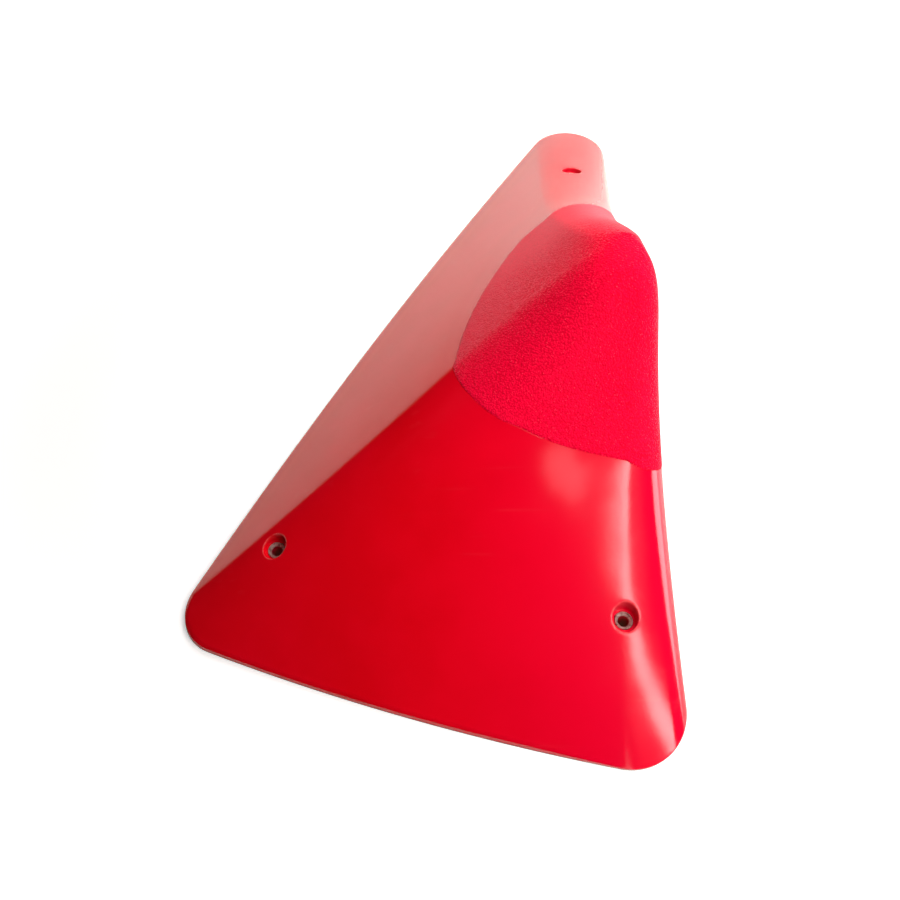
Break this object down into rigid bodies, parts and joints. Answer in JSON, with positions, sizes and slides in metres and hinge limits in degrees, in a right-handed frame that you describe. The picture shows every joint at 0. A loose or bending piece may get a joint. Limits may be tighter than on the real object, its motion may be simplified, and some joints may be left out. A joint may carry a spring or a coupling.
{
  "type": "climbing hold",
  "caption": "Large hollow screw-on climbing hold: a glossy red three-sided pyramid leaning to one steep side, with a rough grip zone round the peak and ferruled screw cups.",
  "frame": {"origin": "middle of the footprint's box, on the plane of the wall that the hold is screwed to", "axes": "+Z straight off the wall, +Y from the front edge towards the tail, +X towards the steep right wall"},
  "size_m": [0.3296, 0.5796, 0.1714],
  "materials": {
    "gloss_gel_coat": "high-gloss moulded gel coat",
    "sandy_grip": "matte, sandy grain of about a millimetre",
    "laminate": "raw glass-fibre laminate",
    "ferrule_steel": "turned, zinc-plated steel",
    "post_resin": "cast red resin"
  },
  "bodies": {
    "root": {"gel_coat_skin": "gloss_gel_coat", "grip_coat": "sandy_grip", "laminate_shell": "laminate", "left_screw_ferrule": "ferrule_steel", "right_screw_ferrule": "ferrule_steel", "tail_screw_ferrule": "ferrule_steel", "left_screw_post": "post_resin", "right_screw_post": "post_resin", "tail_screw_post": "post_resin"}
  },
  "joints": []
}
